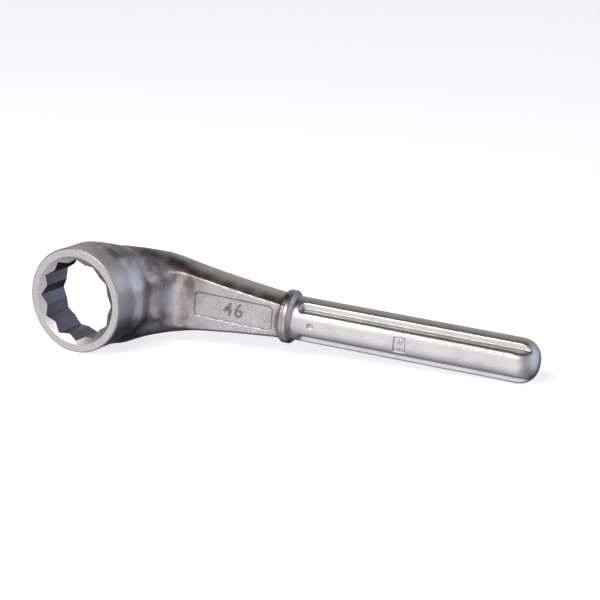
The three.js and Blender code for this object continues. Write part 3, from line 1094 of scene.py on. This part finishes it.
class WRENCH_OT_plate(bpy.types.Operator):
    """Plate the forging: set its place, its edges and the masks that the chrome reads"""

    bl_idname = "wrench.plate"
    bl_label = "Plate the forging"

    def execute(self, context):
        sizes = context.scene.wrench_sizes
        piece = forging_piece()
        mesh = piece.data
        points = mesh_points(mesh)
        masks = skin_masks(Forging(sizes), sizes, points)
        for name, values in masks.items():
            mesh.attributes.new(name, "FLOAT", "POINT").data.foreach_set("value", values.astype(np.float32))
        mesh.transform(wrench_to_row(sizes))
        mesh.shade_smooth()
        sharpen_cuts(mesh)
        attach(piece, BODY)
        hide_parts(NODE)
        return {"FINISHED"}


def sharpen_cuts(mesh):
    """Keeps the edges of the machined faces crisp, and the forged skin smooth."""
    mesh.set_sharp_from_angle(angle=math.radians(12))
    finish = np.empty(len(mesh.polygons), np.int32)
    mesh.polygons.foreach_get("material_index", finish)
    loops = np.empty(len(mesh.polygons), np.int32)
    mesh.polygons.foreach_get("loop_total", loops)
    edge_of = np.empty(len(mesh.loops), np.int32)
    mesh.loops.foreach_get("edge_index", edge_of)
    machined = np.zeros(len(mesh.edges), bool)
    machined[edge_of[np.repeat(finish > 0, loops)]] = True
    flags = mesh.attributes["sharp_edge"].data
    sharp = np.empty(len(mesh.edges), bool)
    flags.foreach_get("value", sharp)
    flags.foreach_set("value", sharp & machined)


def skin_masks(shape, sizes, p):
    """Where the skin is pebbled, where inner corners take painted shade, where edges are worn and take a
    painted highlight, and where it is stained or carries painted shade.
    """
    x, y, z = p.T
    u, n, w = shape.tang_places(p)
    collar_at = sizes.collar_at / MM
    reach = 1.1
    around = np.zeros(len(p))
    for shift in np.eye(3) * reach:
        around += shape(p + shift) + shape(p - shift)
    bend = around / 6 / reach  # over 0 on outer edges, under 0 in inner corners

    front = ramp(shape.gradient(p) @ np.array([0.1, -0.99, 0.05]), 0.5, 0.85)
    on_shank = ramp(x, 40, 54) * (u < collar_at)
    shank_front = front * on_shank
    rough_strip = spot(w, 6.5, 2.5) * ramp(u, 160, 200)
    on_tang = (u > collar_at) * (0.08 + 0.7 * rough_strip)
    # outer edges, worn and given a painted highlight
    rubbed_and_highlight = ramp(bend, 0.10, 0.32) * ramp(np.abs(x - 48), 3.2, 19.2)
    # painted shade along the panel's recessed edge
    panel_edge_shade = spot(shape.panel(p)[1], 0.1, 0.55) * shank_front

    behind_face = y - face_place(x, 0)[1]
    # darker places: some are stains, some are painted shade
    stains_and_shade = (
        spot(x, 30, 26) * spot(y, 34, 20) * ramp(z, 0, 14),  # top of the neck
        # darker over the shank's front, most near the bend: painted shade near the bend
        (0.15 + 0.8 * spot(x, 48, 12)) * shank_front,
        0.6 * spot(u, 120, 9),  # round the collar
        0.6 * spot(x, 38, 5) * spot(y, 24, 9),  # painted shade in the hollow where the ring runs into the neck
        spot(behind_face, 2, 5) * ramp(z, 0, 6) * (1 - front) * on_shank,  # along the shank's upper edge
        0.5 * ramp(z, 20, 32) * ramp(y, -9, 1) * (x < 34),  # top of the ring
        2 * spot(x, 36, 24) * spot(y, 22, 22) * ramp(z, -6, -18),  # painted shade under the neck
    )
    return {
        "grain": np.clip(shank_front + front * on_tang, 0, 1),
        "edge": rubbed_and_highlight,
        # painted shade in inner corners and along the panel's edge
        "crevice_shade": np.clip((-bend - 0.05) / 0.22 + 0.6 * panel_edge_shade, 0, 1),
        "soot_and_shade": np.clip(sum(stains_and_shade), 0, 1.1),
    }


def direction(azimuth, elevation):
    """Towards a place seen from the object: round from the front to the right, and up from the horizon."""
    level = math.cos(elevation)
    return Vector((math.sin(azimuth) * level, -math.cos(azimuth) * level, math.sin(elevation)))


def area_light(name, aim, back, distance, size, power, tint):
    data = bpy.data.lights.new(name, "AREA")
    data.shape = "RECTANGLE"
    data.size, data.size_y = size
    data.energy = power
    data.color = tint
    light = bpy.data.objects.new(name, data)
    light.location = aim + back * distance
    light.rotation_mode = "QUATERNION"
    light.rotation_quaternion = (-back).to_track_quat("-Z", "Y")
    bpy.context.scene.collection.objects.link(light)


KEY_FROM = (math.radians(-16), math.radians(44))  # azimuth and elevation
AIM_OFFSET = Vector((0.011, 0.0, 0.00785))  # from the middle of the wrench's box
FLOOR_REACH = 5.0

# soft light from all round: where it comes from, how strong, how wide (cosine where it starts), tint
AIR_BASE = 0.006
AIR = (
    ((-0.35, -0.92, -0.10), 1.05, 0.45, (1.0, 0.97, 0.96)),
    ((0.90, 0.35, 0.15), 1.0, 0.45, (0.78, 0.82, 1.0)),
    ((-0.35, 0.85, 0.35), 0.45, 0.55, (0.97, 0.97, 1.0)),
    ((0.0, -0.45, -0.90), 0.45, 0.35, (0.78, 0.82, 1.0)),
    ((0.60, -0.78, 0.10), 0.42, 0.60, (0.82, 0.86, 1.0)),
)


def studio_air():
    """Soft light all round: bright in front, bluish to the right and below, dark overhead and low behind."""
    world = bpy.data.worlds.new("studio_air")
    world.use_nodes = True
    air = Nodes(world.node_tree)
    way = air.node("ShaderNodeTexCoord").outputs["Generated"]
    total = air.node("ShaderNodeBackground", {}, {"Color": (1, 1, 1, 1), "Strength": AIR_BASE}).outputs[0]
    for towards, strength, start, tint in AIR:
        facing = air.node("ShaderNodeVectorMath", {"operation": "DOT_PRODUCT"}, {0: way, 1: towards})
        lobe = strength * Wire(air, facing.outputs["Value"]).band(start, 1.0)
        light = air.node("ShaderNodeBackground", {}, {"Color": tint + (1,), "Strength": lobe}).outputs[0]
        total = air.node("ShaderNodeAddShader", {}, {0: total, 1: light}).outputs[0]
    out = air.node("ShaderNodeOutputWorld")
    air.tree.links.new(total, out.inputs["Surface"])
    return world


class WRENCH_OT_stage(bpy.types.Operator):
    """Set the floor, the soft lights and the camera"""

    bl_idname = "wrench.stage"
    bl_label = "Set the studio"

    def execute(self, context):
        scene = context.scene
        studio = scene.wrench_studio
        low, high = (Vector(c) for c in CAD_BOX)
        middle = (low + high) / 2

        corners = [(a * FLOOR_REACH, b * FLOOR_REACH, low.z) for a, b in ((-1, -1), (1, -1), (1, 1), (-1, 1))]
        floor = new_object("studio_floor", mesh_from("studio_floor", corners, [(0, 1, 2, 3)]))
        paper = Finish("pale_paper")
        paper.feed(Base_Color=tuple(studio.floor) + (1,), Roughness=0.9)
        paper.feed(Emission_Color=tuple(studio.floor) + (1,), Emission_Strength=studio.floor_glow)
        floor.data.materials.append(paper.material)
        floor.visible_glossy = False
        floor.visible_shadow = False

        area_light(
            "key_softbox", middle, direction(*KEY_FROM),
            distance=1.3, size=(1.2, 0.5), power=11, tint=(1.0, 0.97, 0.93),
        )
        scene.world = studio_air()

        back = direction(studio.azimuth, studio.elevation)
        right = (-back).cross(Vector((0, 0, 1))).normalized()
        up = right.cross(-back)
        tilt_right = math.cos(studio.roll) * right + math.sin(studio.roll) * up
        tilt_up = -math.sin(studio.roll) * right + math.cos(studio.roll) * up
        aim = middle + AIM_OFFSET
        data = bpy.data.cameras.new("studio_camera")
        data.sensor_width = 36
        data.lens = studio.lens
        data.clip_start, data.clip_end = 0.05, 50
        camera = bpy.data.objects.new("studio_camera", data)
        turn = Matrix((tilt_right, tilt_up, back)).transposed().to_4x4()
        camera.matrix_world = Matrix.Translation(aim + back * studio.distance) @ turn
        scene.collection.objects.link(camera)
        scene.camera = camera
        scene.view_settings.view_transform = "Standard"
        return {"FINISHED"}


class WRENCH_PT_panel(bpy.types.Panel):
    """Steps and settings of the ring wrench"""

    bl_idname = "WRENCH_PT_panel"
    bl_label = "Ring wrench"
    bl_space_type = "VIEW_3D"
    bl_region_type = "UI"
    bl_category = "Wrench"

    def draw(self, context):
        for operator in OPERATORS:
            self.layout.operator(operator.bl_idname)
        for group in (context.scene.wrench_sizes, context.scene.wrench_colours, context.scene.wrench_studio):
            box = self.layout.box()
            for name in group.bl_rna.properties.keys():
                if name not in ("rna_type", "name"):
                    box.prop(group, name)


GROUPS = {"wrench_sizes": WrenchSizes, "wrench_colours": ChromeColours, "wrench_studio": StudioSettings}
OPERATORS = (WRENCH_OT_forge, WRENCH_OT_broach, WRENCH_OT_mark, WRENCH_OT_plate, WRENCH_OT_stage)


def register():
    for made in (*GROUPS.values(), *OPERATORS, WRENCH_PT_panel):
        bpy.utils.register_class(made)
    for name, group in GROUPS.items():
        setattr(bpy.types.Scene, name, bpy.props.PointerProperty(type=group))


def unregister():
    for name in GROUPS:
        delattr(bpy.types.Scene, name)
    for made in reversed((*GROUPS.values(), *OPERATORS, WRENCH_PT_panel)):
        bpy.utils.unregister_class(made)


def main():
    register()
    bpy.ops.wrench.forge()
    bpy.ops.wrench.broach()
    bpy.ops.wrench.mark()
    bpy.ops.wrench.plate()
    bpy.ops.wrench.stage()


if __name__ == "__main__":
    main()
